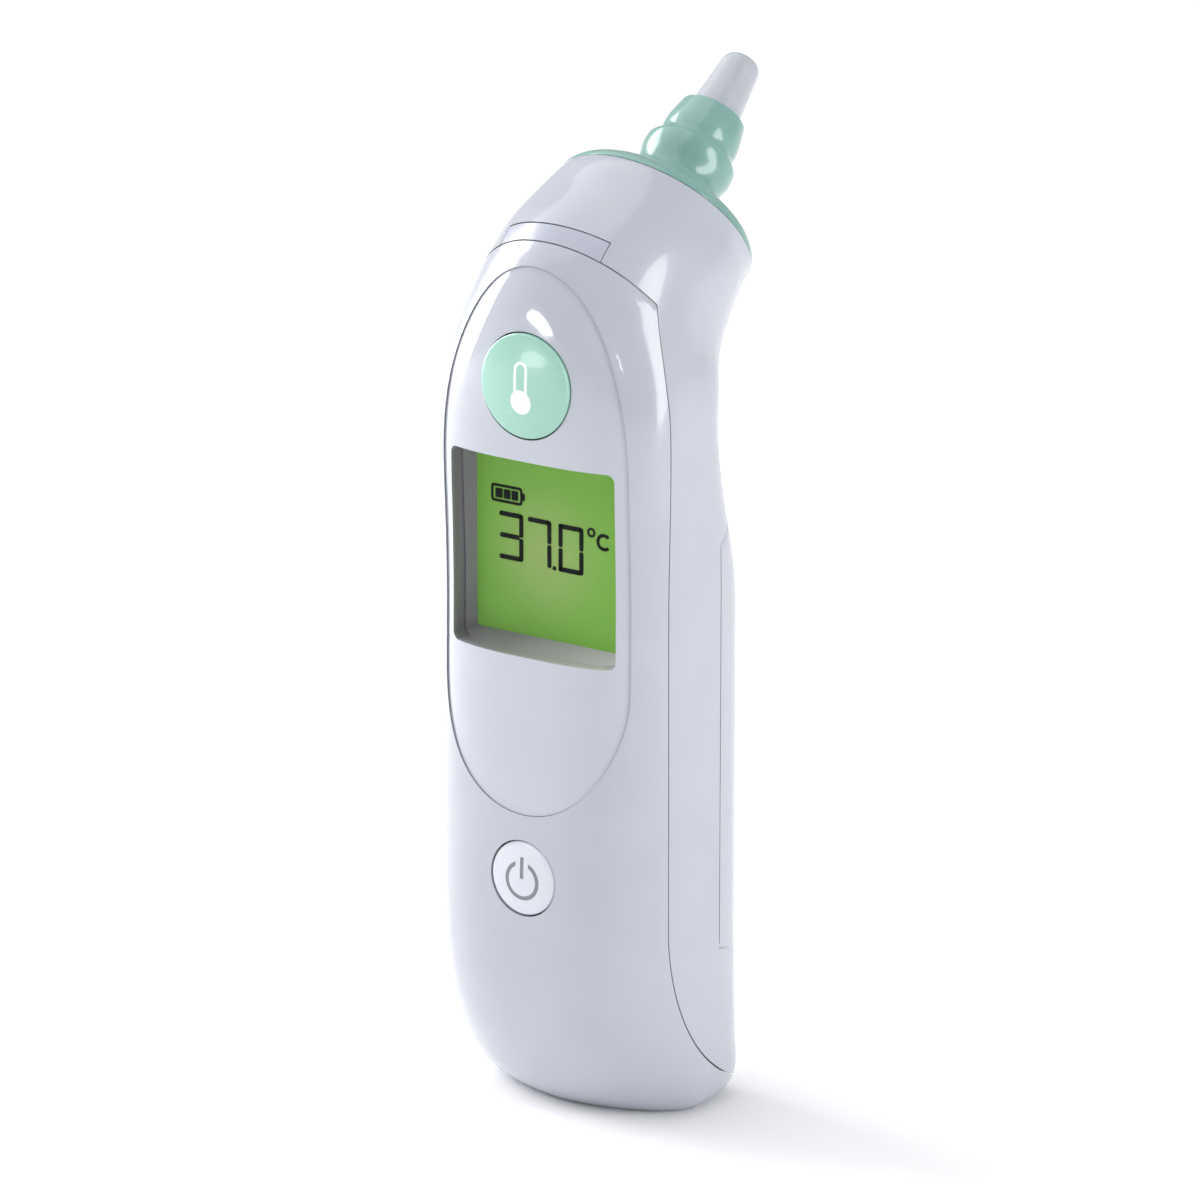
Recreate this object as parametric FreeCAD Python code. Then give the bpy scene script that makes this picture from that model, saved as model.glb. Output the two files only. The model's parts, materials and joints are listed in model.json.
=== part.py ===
"""Digital ear thermometer: a handheld shell with a tilted probe head, modelled piece by piece.

Millimetres, +Z up along the handle, -Y is the display side, +X is the right hand side seen from the display.
Pieces are drawn with the start button's face at Y = 0; save_all() then moves the origin under the middle of
the whole thermometer.
"""
import FreeCAD, Part
import math
import os

from FreeCAD import Vector as V

# ------------------------------------------------------------------ driving dimensions
# Handle
HALF_WIDTH = 19.5
FRONT_Y, BACK_Y = -0.6, 29.8         # display side and rear at their furthest
FLAT_BACK_Y = 29.5                   # the rear is flattened at this plane
MID = 0.47                           # share of the depth at which the handle is widest
WALL = 2.3                           # shell thickness
SEAM = 0.18                          # gap between neighbouring covers
FIT = 0.25                           # assembly clearance inside the shell

# Foot: rounded in from every side down to a flat sole
SOLE_Z = -0.8
SIDE_ROUND, SIDE_IN = 6.0, 4.4       # height and depth of the rounding at the sides
CHIN_ROUND, CHIN_IN = 28.0, 14.0     # the same at the display side
HEEL_ROUND, HEEL_IN = 5.5, 3.8       # the same at the rear
SOLE_SHARE = 0.94                    # how far each rounding has turned in at the sole

# Probe head
HEAD_TILT = 48.8                     # degrees, probe axis from +Z towards +Y
RIM_Y, RIM_Z = 31.0, 124.8           # centre of the head's open rim
RIM_R = 15.2

# Outlines of the two covers
SPLIT_Y = 8.0                        # side edge of the front cover
SPLIT_TOP = [(14.0, 129.0), (11.0, 121.0), (8.8, 113.5), (SPLIT_Y, 105.0)]    # behind the arch
SPLIT_CURVE = [(SPLIT_Y, 29.0), (9.3, 20.3), (13.5, 11.5), (19.8, 5.3), (25.3, 2.4), (33.0, 0.6)]
ARCH_R, ARCH_Z = 18.2, 109.0         # top arch of the front cover
ARCH_START_Z = 112.0                 # below this the front cover takes the whole width

# Glossy oval panel
PANEL_HALF = 16.0
PANEL_TOP_Z, PANEL_TOP_RISE = 124.1, 29.0        # top of the oval and height of its upper curve
PANEL_BOTTOM_Z, PANEL_BOTTOM_RISE = 45.2, 19.5   # the same for its lower curve
PANEL_SUNK, PANEL_BED = 0.25, 1.5    # depth of its face and of its bed below the cover's face

# Display
WINDOW_HALF = 14.1
WINDOW_BOTTOM_Z, WINDOW_TOP_Z = 68.2, 96.6
WINDOW_R = 1.2
LENS_SUNK = 0.7                      # depth of the lens's face below the cover's face
HOOD_Y = 3.2                         # front of the hood behind the lens
HOOD_TAPER = 1.0                     # the hood narrows by this much on each side
HOOD_WALL = 0.7
LCD_Y, LCD_THICK = 6.6, 1.5
GUIDE_THICK = 1.3                    # back-light guide

# Main board
BOARD_Y, BOARD_THICK = 9.8, 1.0
BOARD_HALF = 14.4
BOARD_BOTTOM_Z, BOARD_TOP_Z = 27.0, 114.0
SCREW_R, SCREW_HEAD_R = 0.8, 1.7
BOSS_R = 2.0
BOARD_SCREWS = [(11.6, 31.5), (11.6, 62.0), (11.8, 101.6)]
CASE_SCREW_X, CASE_SCREW_Z = 7.5, 17.6
SHELF_Y, SHELF_THICK = 14.6, 1.6     # ledge in the rear housing under the case screws

# Buttons
START_R, START_Z = 7.5, 107.5
POWER_R, POWER_Z = 5.45, 35.8
BUTTON_GAP = 0.2
BUTTON_SUNK = 0.25
START_DOME, POWER_DOME = 1.0, 0.4
BUTTON_FLANGE_Y, FLANGE_THICK, FLANGE_OVER = 3.25, 1.0, 0.9
SWITCH_HALF, SWITCH_HEIGHT = 3.0, 3.2
PLUNGER_R, PLUNGER_OUT = 1.6, 1.0
ICON_DEEP = 0.3

# Filter ejector
EJECTOR_HALF, EJECTOR_TALL = 8.5, 1.9      # thumb pad, a band above the arch
EJECTOR_GAP = 0.15
PAD_BACK_Y = 10.2
EJECTOR_FACE_Y = 14.0                # where its arms meet the carrier
ARM_IN, ARM_OUT = 5.6, 7.6
ARM_LOW_Z, ARM_HIGH_Z, ARM_THICK = 117.0, 126.8, 2.0

# Probe, measured along its axis from the rim plane
RING_HOLE_R = 7.15
COLLAR_R, COLLAR_END_R, COLLAR_TOP = 6.9, 4.95, 19.1
SEAT_FROM, SEAT_TO = 10.2, 11.4      # straight land on which a lens filter sits
TIP_ROOT_R, TIP_R, TIP_END = 3.95, 3.75, 29.3
TIP_BORE_R = 2.3
BASE_AT, BASE_THICK, BASE_R = -6.0, 1.6, 11.5
CARRIER_AT, CARRIER_THICK, CARRIER_R = -14.6, 1.6, 8.2
LEG_X, LEG_R = 9.6, 1.2

# Power supply: two AA cells side by side
CELL_R, CELL_LENGTH = 7.1, 49.2
CELL_X = CELL_R + 0.2
CELL_BOTTOM_Z = 25.6
NUB_R, NUB = 2.6, 1.2
TRAY_WALL = 1.0
CONTACT_THICK = 0.35
SPRING_LENGTH = 2.6
DOOR_HALF, DOOR_R = 19.6, 12.0       # outline of the battery door and its corners
DOOR_BOTTOM_Z, DOOR_TOP_Z = 14.5, 92.0
DOOR_Y = 20.3                        # side edge of the door
DOOR_THICK = 2.0

TILT = math.radians(HEAD_TILT)
AXIS = V(0, math.sin(TILT), math.cos(TILT))       # along the probe, outwards
ACROSS = V(0, math.cos(TILT), -math.sin(TILT))    # across the probe, to the rear
RIM = V(0, RIM_Y, RIM_Z)
X, Y, Z = V(1, 0, 0), V(0, 1, 0), V(0, 0, 1)
CELL_Y = FLAT_BACK_Y - DOOR_THICK - FIT - CELL_R
CELL_TOP_Z = CELL_BOTTOM_Z + CELL_LENGTH
BOARD_BACK_Y = BOARD_Y + BOARD_THICK


# ------------------------------------------------------------------ small helpers
def box(x0, x1, y0, y1, z0, z1):
    return Part.makeBox(x1 - x0, y1 - y0, z1 - z0, V(x0, y0, z0))


def rod(start, axis, radius, length):
    return Part.makeCylinder(radius, length, start, axis)


def tube(start, axis, outer, inner, length):
    return rod(start, axis, outer, length).cut(rod(start, axis, inner, length))


def mirrored(shape):
    return shape.mirror(V(0, 0, 0), X)


def both_sides(shape):
    return shape.fuse(mirrored(shape))


def group(shapes):
    return Part.makeCompound(shapes)


def smooth_or_straight(points):
    if len(points) == 2:
        return Part.LineSegment(*points).toShape()
    curve = Part.BSplineCurve()
    curve.interpolate(points)
    return curve.toShape()


def outline(runs):
    """A closed face from runs of points. Two points make a line and more make one smooth curve."""
    runs = runs + [[runs[-1][-1], runs[0][0]]]
    return Part.Face(Part.Wire([smooth_or_straight(run) for run in runs]))


def side_block(runs, x0, x1):
    """An outline drawn in the side view from (y, z) points, given a width along X."""
    return outline([[V(x0, y, z) for y, z in run] for run in runs]).extrude(V(x1 - x0, 0, 0))


def on_axis(along, x=0.0, across=0.0):
    return RIM + AXIS * along + ACROSS * across + X * x


def turned(*runs):
    """A solid turned about the probe's axis from runs of (radius, along) points."""
    return outline([[on_axis(a, x=r) for r, a in run] for run in runs]).revolve(RIM, AXIS, 360)


def steps(*points):
    """The runs of an outline made of straight lines."""
    return [list(ends) for ends in zip(points, points[1:])]


def stadium(half, bottom, top, y0, y1):
    """A plate with round ends, standing in the XZ plane from y0 to y1."""
    plate = box(-half, half, y0, y1, bottom + half, top - half)
    for z in (bottom + half, top - half):
        plate = plate.fuse(rod(V(0, y0, z), Y, half, y1 - y0))
    return plate.removeSplitter()


def rounded_block(half, bottom, top, y0, y1, radius):
    block = box(-half, half, y0, y1, bottom, top)
    edges = [e for e in block.Edges if abs(e.tangentAt(e.FirstParameter).y) > 0.99]
    return block.makeFillet(radius, edges)


def soften(shape, radius, axis, level):
    """Round the circular edges that lie at this level along the axis."""
    edges = [e for e in shape.Edges if e.Closed and abs(e.CenterOfMass.dot(axis) - level) < 1e-4]
    return shape.makeFillet(radius, edges)


def screw(start, length):
    """A screw along +Y from its tip to a slotted pan head."""
    head_y = start.y + length
    shank = rod(start, Y, SCREW_R, length)
    head = rod(V(start.x, head_y, start.z), Y, SCREW_HEAD_R, 1.1)
    slot = box(start.x - SCREW_HEAD_R, start.x + SCREW_HEAD_R, head_y + 0.6, head_y + 2,
               start.z - 0.2, start.z + 0.2)
    return shank.fuse(head).cut(slot)


# ------------------------------------------------------------------ outer form
def rounding(rise, height, depth):
    """How far the shell has come in at this height above the sole."""
    up = max(0.0, (height - rise) / height)
    return depth * (1 - math.sqrt(1 - SOLE_SHARE * up * up))


def foot_station(rise):
    z = SOLE_Z + rise
    bow = 3.0 - 1.3 * max(0.0, (CHIN_ROUND - rise) / CHIN_ROUND) ** 1.4
    return ((FRONT_Y + rounding(rise, CHIN_ROUND, CHIN_IN), z),
            (BACK_Y - rounding(rise, HEEL_ROUND, HEEL_IN), z),
            HALF_WIDTH - rounding(rise, SIDE_ROUND, SIDE_IN), bow, 4.4)


# Each station: front point (y, z), rear point (y, z), half width, squareness of the front and of the rear.
# A squareness of 2 is round.
FOOT = [foot_station(rise) for rise in (0.0, 0.5, 1.5, 3.0, 5.0, 8.0, 12.0, 17.0, 23.0, 30.0)]
HANDLE = [((front, z), (back, z), HALF_WIDTH, 3.0, 4.4) for z, front, back in (
    (40, FRONT_Y, BACK_Y), (56, -0.4, BACK_Y), (70, -0.1, BACK_Y), (78, 0.0, 29.3),
    (88, 0.0, 26.6), (98, 0.0, 24.6))]
HEAD = [
    ((0.0, 106.0), (24.9, 101.4), 19.4, 2.7, 4.2),
    ((0.2, 114.0), (26.4, 103.9), 18.7, 2.25, 4.0),
    ((1.4, 121.5), (28.6, 106.0), 17.3, 1.95, 3.8),
    ((4.6, 127.5), (31.5, 108.0), 16.5, 1.85, 3.2),
    ((9.8, 131.2), (34.9, 110.2), 16.4, 1.9, 2.5),
    ((15.4, 133.7), (38.1, 112.0), 15.8, 2.0, 2.2),
    ((RIM_Y - RIM_R * math.cos(TILT), RIM_Z + RIM_R * math.sin(TILT)),
     (RIM_Y + RIM_R * math.cos(TILT), RIM_Z - RIM_R * math.sin(TILT)), RIM_R, 2.0, 2.0),
]
STATIONS = FOOT + HANDLE + HEAD


def section(front, rear, half, round_front, round_rear, middle, inset):
    """A closed section through a front and a rear point, pulled in by inset all round."""
    depth = (rear - front).Length
    along = (rear - front).normalize()
    centre = front + along * depth * middle
    points, count = [], 28
    for k in range(count):
        angle = math.pi / 2 + 2 * math.pi * k / count
        c, s = math.cos(angle), math.sin(angle)
        power = round_rear if s > 0 else round_front
        reach = (depth * (1 - middle) if s > 0 else depth * middle) - inset
        size = (abs(c) ** power + abs(s) ** power) ** (-1 / power)
        points.append(centre + X * ((half - inset) * c * size) + along * (reach * s * size))
    curve = Part.BSplineCurve()
    curve.interpolate(points, PeriodicFlag=True)
    return Part.Wire(curve.toShape())


def hull(inset=0.0):
    """The whole outer form as a solid, pulled in by inset but open-ended at the rim."""
    rows = []
    for i, (front, rear, half, round_front, round_rear) in enumerate(STATIONS):
        turn = max(0.0, (i - len(STATIONS) + len(HEAD)) / (len(HEAD) - 1))
        lift = Z * inset * max(0.0, 1 - (front[1] - SOLE_Z) / 12)
        rows.append(section(V(0, *front) + lift, V(0, *rear) + lift, half, round_front, round_rear,
                            MID + (0.5 - MID) * turn, inset))
    if inset:
        past = on_axis(2, across=-RIM_R), on_axis(2, across=RIM_R)
        rows.append(section(*past, RIM_R, 2.0, 2.0, 0.5, inset))
    return Part.makeLoft(rows, True, False)


def outer_form():
    return hull().cut(box(-40, 40, FLAT_BACK_Y, FLAT_BACK_Y + 20, -5, 90))


OUTER = outer_form()
INNER = hull(WALL)
UNDER_PANEL = hull(PANEL_BED)
UNDER_DOOR = hull(DOOR_THICK)


def front_region(grow):
    """Everything that belongs to the front cover, grown by a gap."""
    top, curve = [[(y + grow, z + grow) for y, z in points] for points in (SPLIT_TOP, SPLIT_CURVE)]
    start, end = top[0], curve[-1]
    region = side_block([[(-5, -5), (-5, 145)], [(-5, 145), (start[0], 145)], [(start[0], 145), start], top,
                         [top[-1], curve[0]], curve, [end, (end[0], -5)]], -40, 40)
    arch = box(-40, 40, -10, 60, -10, ARCH_START_Z)
    arch = arch.fuse(rod(V(0, -10, ARCH_Z), Y, ARCH_R + grow, 70))
    return region.common(arch)


def door_region(grow):
    bottom, top = DOOR_BOTTOM_Z - grow, DOOR_TOP_Z + grow
    return rounded_block(DOOR_HALF + grow, bottom, top, DOOR_Y - grow, 40, DOOR_R)


def ejector_region(grow, back_y):
    """The band above the front cover's arch in which the ejector's thumb pad slides."""
    start, low, high = V(0, -3, ARCH_Z), ARCH_R + EJECTOR_GAP, ARCH_R + EJECTOR_GAP + EJECTOR_TALL
    band = tube(start, Y, high + grow, low - grow, back_y + 3)
    block = box(-EJECTOR_HALF - grow, EJECTOR_HALF + grow, -4, back_y + 1, ARCH_Z, ARCH_Z + 40)
    return band.common(block)


def panel_region(grow, y0, y1):
    """The panel's oval outline as a plate from y0 to y1."""
    half = PANEL_HALF + grow
    upper, lower = PANEL_TOP_Z - PANEL_TOP_RISE, PANEL_BOTTOM_Z + PANEL_BOTTOM_RISE

    def half_oval(centre, rise):
        turns = [math.pi * k / 12 for k in range(13)]
        return [V(half * math.cos(t), y0, centre + (rise + grow) * math.sin(t)) for t in turns]

    top = half_oval(upper, PANEL_TOP_RISE)
    bottom = list(reversed(half_oval(lower, -PANEL_BOTTOM_RISE - 2 * grow)))
    return outline([top, [top[-1], bottom[0]], bottom]).extrude(V(0, y1 - y0, 0))


def window(y0, y1):
    return rounded_block(WINDOW_HALF, WINDOW_BOTTOM_Z, WINDOW_TOP_Z, y0, y1, WINDOW_R)


def button_holes():
    return [rod(V(0, -5, z), Y, radius + BUTTON_GAP, 12)
            for radius, z in ((START_R, START_Z), (POWER_R, POWER_Z))]


# ------------------------------------------------------------------ covers
def front_cover():
    bosses, holes = [], []
    for x, z in BOARD_SCREWS:
        bosses.append(both_sides(rod(V(x, 0, z), Y, BOSS_R, BOARD_Y)))
        holes.append(both_sides(rod(V(x, BOARD_Y - 5, z), Y, SCREW_R, 10)))
    bosses.append(both_sides(rod(V(CASE_SCREW_X, 0, CASE_SCREW_Z), Y, BOSS_R, SHELF_Y)))
    holes.append(both_sides(rod(V(CASE_SCREW_X, SHELF_Y - 6, CASE_SCREW_Z), Y, SCREW_R, 10)))
    snaps = [both_sides(box(15.5, 16.5, 5, 11.5, z - 3, z + 3)) for z in (50, 92)]
    skin = OUTER.cut(INNER).common(front_region(0))
    bed = OUTER.cut(UNDER_PANEL).common(panel_region(0.05, -5, 12))
    inside = group(bosses).common(UNDER_DOOR)
    return skin.fuse([inside] + snaps).cut([bed, window(-5, 12)] + button_holes() + holes)


def rear_housing():
    skin = OUTER.cut(INNER)
    slot = ejector_region(EJECTOR_GAP, EJECTOR_FACE_Y)
    ledge = rod(on_axis(BASE_AT - BASE_THICK), AXIS, RIM_R + 1, BASE_THICK)
    ledge = ledge.cut([rod(on_axis(BASE_AT - 9), AXIS, CARRIER_R, 12)]
                      + [rod(on_axis(BASE_AT - 9, x=x), AXIS, LEG_R + 1, 12) for x in (-LEG_X, LEG_X)])
    shelf = box(-17.4, 17.4, SHELF_Y, SHELF_Y + SHELF_THICK, 13.2, 20.6)
    holes = both_sides(rod(V(CASE_SCREW_X, SHELF_Y - 1, CASE_SCREW_Z), Y, SCREW_R + 0.15, 4))
    bay_end = box(-17.4, 17.4, 12.6, DOOR_Y - 0.5, 80.4, 81.6)
    cover_space = skin.common(front_region(SEAM))
    inside = group([ledge, shelf.cut(holes), bay_end]).common(UNDER_DOOR).cut(cover_space)
    return skin.cut([cover_space, door_region(SEAM), slot]).fuse(inside)


def battery_door():
    return OUTER.cut(UNDER_DOOR).common(door_region(0))


# ------------------------------------------------------------------ panel and display
def display_panel():
    plate = hull(PANEL_SUNK).cut(UNDER_PANEL).common(panel_region(0, -5, 12))
    return plate.cut([window(-5, 12), button_holes()[0]])


def display_lens():
    return hull(LENS_SUNK).cut(UNDER_PANEL).common(window(-5, 12))


def rectangle(y, shrink):
    half, low, high = WINDOW_HALF - shrink, WINDOW_BOTTOM_Z + shrink, WINDOW_TOP_Z - shrink
    corners = [V(-half, y, low), V(half, y, low), V(half, y, high), V(-half, y, high), V(-half, y, low)]
    return Part.makePolygon(corners)


def display_hood():
    """The grey walls between the lens and the display glass."""
    block = rounded_block(WINDOW_HALF + HOOD_WALL, WINDOW_BOTTOM_Z - HOOD_WALL, WINDOW_TOP_Z + HOOD_WALL,
                          0.5, LCD_Y, WINDOW_R)
    funnel = Part.makeLoft([rectangle(HOOD_Y, 0), rectangle(LCD_Y, HOOD_TAPER)], True, True)
    mouth = Part.Face(rectangle(0, 0)).extrude(V(0, HOOD_Y, 0))
    return block.cut([funnel, mouth]).common(INNER)


def display_plate(y, thick, low):
    return box(-WINDOW_HALF, WINDOW_HALF, y, y + thick, WINDOW_BOTTOM_Z + low, WINDOW_TOP_Z)


def elastomer_connector():
    return box(-11, 11, LCD_Y + LCD_THICK, BOARD_Y, WINDOW_BOTTOM_Z + 0.2, WINDOW_BOTTOM_Z + 2.2)


# ------------------------------------------------------------------ board and its parts
def main_board():
    board = rounded_block(BOARD_HALF, BOARD_BOTTOM_Z, BOARD_TOP_Z, BOARD_Y, BOARD_BACK_Y, 2)
    return board.cut([both_sides(rod(V(x, BOARD_Y - 1, z), Y, SCREW_R + 0.15, 4)) for x, z in BOARD_SCREWS])


def board_screws():
    return group([screw(V(side * x, BOARD_Y - 4, z), 4 + BOARD_THICK)
                  for x, z in BOARD_SCREWS for side in (-1, 1)])


def case_screws():
    return group([screw(V(side * CASE_SCREW_X, SHELF_Y - 5, CASE_SCREW_Z), 5 + SHELF_THICK)
                  for side in (-1, 1)])


def chips(*places):
    """Flat components on the rear of the board from (x, z, width, height, thickness)."""
    return group([box(x - w / 2, x + w / 2, BOARD_BACK_Y, BOARD_BACK_Y + t, z - h / 2, z + h / 2)
                  for x, z, w, h, t in places])


def buzzer():
    can = rod(V(-7.5, BOARD_BACK_Y, 89), Y, 4.5, 2.6)
    return can.cut(rod(V(-7.5, BOARD_BACK_Y + 1.8, 89), Y, 0.9, 2))


def sensor_flex():
    """The strip of flexible circuit from the probe to the board's connector."""
    line = [(12.55, 107.0), (13.4, 109.8), (15.6, 111.9), (18.96, 114.26), (25.36, 119.86)]
    other = [(y + 0.2, z - 0.22) for y, z in reversed(line)]
    return side_block([line, [line[-1], other[0]], other], -2, 2)


def switch(z):
    body = box(-SWITCH_HALF, SWITCH_HALF, BOARD_Y - SWITCH_HEIGHT, BOARD_Y, z - SWITCH_HALF, z + SWITCH_HALF)
    return body.cut(rod(V(0, BOARD_Y - SWITCH_HEIGHT - 1, z), Y, PLUNGER_R + 0.05, 3.2))


def plunger(z):
    return rod(V(0, BOARD_Y - SWITCH_HEIGHT - PLUNGER_OUT, z), Y, PLUNGER_R, PLUNGER_OUT + 1.3)


# ------------------------------------------------------------------ buttons
def dome(radius, z, front, rise):
    """The ball whose cap is the face of a button with its edge at the given front."""
    bend = (radius ** 2 + rise ** 2) / (2 * rise)
    return Part.makeSphere(bend, V(0, front - rise + bend, z))


def button(radius, z, front, rise):
    """A domed round cap with a flange behind the cover and a stem down to its switch."""
    back = front + BUTTON_FLANGE_Y
    cap = rod(V(0, front - rise, z), Y, radius, rise + BUTTON_FLANGE_Y + 0.5)
    cap = soften(cap.common(dome(radius, z, front, rise)), 0.35, Y, front)
    flange = rod(V(0, back, z), Y, radius + FLANGE_OVER, FLANGE_THICK)
    stem_end = BOARD_Y - SWITCH_HEIGHT - PLUNGER_OUT - 0.02
    return cap.fuse([flange, rod(V(0, back, z), Y, 2.4, stem_end - back)])


def start_icon(y0, depth):
    """A clinical thermometer: an outlined stem over a filled bulb."""
    stem = stadium(1.15, START_Z - 2.6, START_Z + 3.7, y0, y0 + depth)
    stem = stem.cut(stadium(0.72, START_Z - 2.2, START_Z + 3.27, y0 - 1, y0 + depth + 1))
    bulb = rod(V(0, y0, START_Z - 2.1), Y, 1.75, depth)
    return stem.fuse(bulb)


def power_icon(y0, depth):
    """A ring open at the top with an upright bar in the gap."""
    ring = tube(V(0, y0, POWER_Z - 0.3), Y, 2.9, 2.3, depth)
    ring = ring.cut(box(-1.1, 1.1, y0 - 1, y0 + depth + 1, POWER_Z, POWER_Z + 4))
    return group([ring, box(-0.3, 0.3, y0, y0 + depth, POWER_Z, POWER_Z + 3.2)])


# ------------------------------------------------------------------ filter ejector
def ejector_button():
    face = EJECTOR_FACE_Y - 0.02
    pad = OUTER.common(ejector_region(0, PAD_BACK_Y))
    reach = ejector_region(0, face).common(box(ARM_IN, ARM_OUT, PAD_BACK_Y - 1, face, ARCH_Z, ARCH_Z + 40))
    leg = box(ARM_IN, ARM_OUT, face - ARM_THICK, face, ARM_LOW_Z, ARM_HIGH_Z)
    return pad.fuse([both_sides(reach), both_sides(leg)])


def ejector_carrier():
    """The sliding yoke inside the head, with two legs that reach the ring."""
    start = on_axis(CARRIER_AT)
    yoke = tube(start, AXIS, CARRIER_R, 5.6, CARRIER_THICK)
    ears = [rod(on_axis(CARRIER_AT, x=x), AXIS, LEG_R + 0.9, CARRIER_THICK) for x in (-LEG_X, LEG_X)]
    legs = [rod(on_axis(CARRIER_AT, x=x), AXIS, LEG_R, 0.8 - CARRIER_AT) for x in (-LEG_X, LEG_X)]
    face = box(ARM_IN - 0.3, ARM_OUT + 0.3, EJECTOR_FACE_Y, EJECTOR_FACE_Y + 1.4, 114.8, 120.6)
    bridge = box(ARM_IN - 0.3, ARM_OUT + 0.3, EJECTOR_FACE_Y, 18.8, 116.4, 119.0)
    return yoke.fuse(ears + legs + [both_sides(face), both_sides(bridge)])


def ejector_ring():
    """The domed ring that pushes the filter off, resting on the head's rim."""
    return turned([(15.1, 0.15), (15.1, 0.6)],
                  [(15.1, 0.6), (14.2, 1.8), (12.0, 3.0), (9.6, 4.0), (8.0, 5.1), (RING_HOLE_R, 6.4)],
                  *steps((RING_HOLE_R, 6.4), (RING_HOLE_R, 0.8), (11.6, 0.8), (11.6, -1.2), (12.6, -1.2),
                         (12.6, 0.15)))


# ------------------------------------------------------------------ probe
def probe_base():
    disc = rod(on_axis(BASE_AT), AXIS, BASE_R, BASE_THICK)
    return disc.cut([rod(on_axis(BASE_AT - 1), AXIS, 3.15, 4)]
                    + [rod(on_axis(BASE_AT - 1, x=x), AXIS, LEG_R + 0.2, 4) for x in (-LEG_X, LEG_X)])


def probe_collar():
    foot = BASE_AT + BASE_THICK
    return turned(*steps((3.2, foot), (8.0, foot), (8.0, foot + 1.2), (COLLAR_R, foot + 1.2),
                         (COLLAR_R, 4.6)),
                  [(COLLAR_R, 4.6), (6.55, 6.0), (6.4, 7.4), (6.6, 8.9), (COLLAR_R, SEAT_FROM)],
                  [(COLLAR_R, SEAT_FROM), (COLLAR_R, SEAT_TO)],
                  [(COLLAR_R, SEAT_TO), (6.6, 12.2), (5.85, 13.0), (5.6, 13.6)],
                  [(5.6, 13.6), (5.7, 14.6), (5.65, 15.8), (5.35, 17.4), (COLLAR_END_R, COLLAR_TOP)],
                  *steps((COLLAR_END_R, COLLAR_TOP), (TIP_ROOT_R + 0.05, COLLAR_TOP),
                         (TIP_ROOT_R + 0.05, 15.2), (3.2, 15.2)))


def probe_tip():
    return turned(*steps((TIP_BORE_R, 15.65), (TIP_ROOT_R, 15.65), (TIP_ROOT_R, COLLAR_TOP),
                         (TIP_R, COLLAR_TOP)),
                  [(TIP_R, COLLAR_TOP), (3.55, 21.5), (3.25, 24.5), (3.0, 27.0)],
                  [(3.0, 27.0), (2.8, 28.3), (2.35, 29.0), (1.7, TIP_END)],
                  *steps((1.7, TIP_END), (1.5, TIP_END), (1.5, 28.4), (TIP_BORE_R, 28.4)))


def sensor_holder():
    """The tube that carries the sensor from the base to the tip."""
    return turned(*steps((0.9, -7.4), (5.0, -7.4), (5.0, BASE_AT), (3.1, BASE_AT), (3.1, 15.1), (1.9, 15.1),
                         (1.9, 23.9), (0.9, 23.9)))


def probe_ring(outer, inner, start, end):
    return tube(on_axis(start), AXIS, outer, inner, end - start)


# ------------------------------------------------------------------ power supply
CONTACT_LOW = CELL_BOTTOM_Z - SPRING_LENGTH
CONTACT_HIGH = CELL_BOTTOM_Z + CELL_LENGTH + NUB
TRAY_HALF = CELL_X + CELL_R + 0.2 + TRAY_WALL
TRAY_Y = CELL_Y - CELL_R - 0.1 - TRAY_WALL


def cell(x, upright):
    can = rod(V(x, CELL_Y, CELL_BOTTOM_Z), Z, CELL_R, CELL_LENGTH)
    can = soften(soften(can, 0.5, Z, CELL_BOTTOM_Z), 0.5, Z, CELL_TOP_Z)
    whole = can.fuse(rod(V(x, CELL_Y, CELL_BOTTOM_Z + CELL_LENGTH), Z, NUB_R, NUB))
    if not upright:
        whole = whole.mirror(V(0, 0, (CONTACT_LOW + CONTACT_HIGH) / 2), Z)
    return whole


def battery_tray():
    low = CONTACT_LOW - CONTACT_THICK - TRAY_WALL
    high = CONTACT_HIGH + CONTACT_THICK + TRAY_WALL
    block = box(-TRAY_HALF, TRAY_HALF, TRAY_Y, CELL_Y, low, high)
    room = box(-TRAY_HALF + TRAY_WALL, TRAY_HALF - TRAY_WALL, TRAY_Y + TRAY_WALL, CELL_Y + 1,
               low + TRAY_WALL, high - TRAY_WALL)
    return block.cut(room)


def contact(x0, x1, z):
    return box(x0, x1, TRAY_Y + TRAY_WALL + 0.1, CELL_Y + 3, z, z + CONTACT_THICK)


def contact_spring(x, z, up):
    """A folded leaf between a contact plate at z and the flat end of a cell, up or down from it."""
    wide, leaf, tall = 2.6, 0.3, up * SPRING_LENGTH
    y0, y1 = CELL_Y - 4, CELL_Y + 4
    fold = [(y0, z), (y1, z), (y1, z + up * leaf), (y0 + 1.2, z + up * leaf), (CELL_Y + 2, z + tall),
            (CELL_Y - 2, z + tall), (CELL_Y - 2, z + tall - up * leaf), (CELL_Y + 1.2, z + tall - up * leaf),
            (y0, z + up * 2 * leaf), (y0, z)]
    return side_block(steps(*fold)[:-1], x - wide, x + wide)


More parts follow.
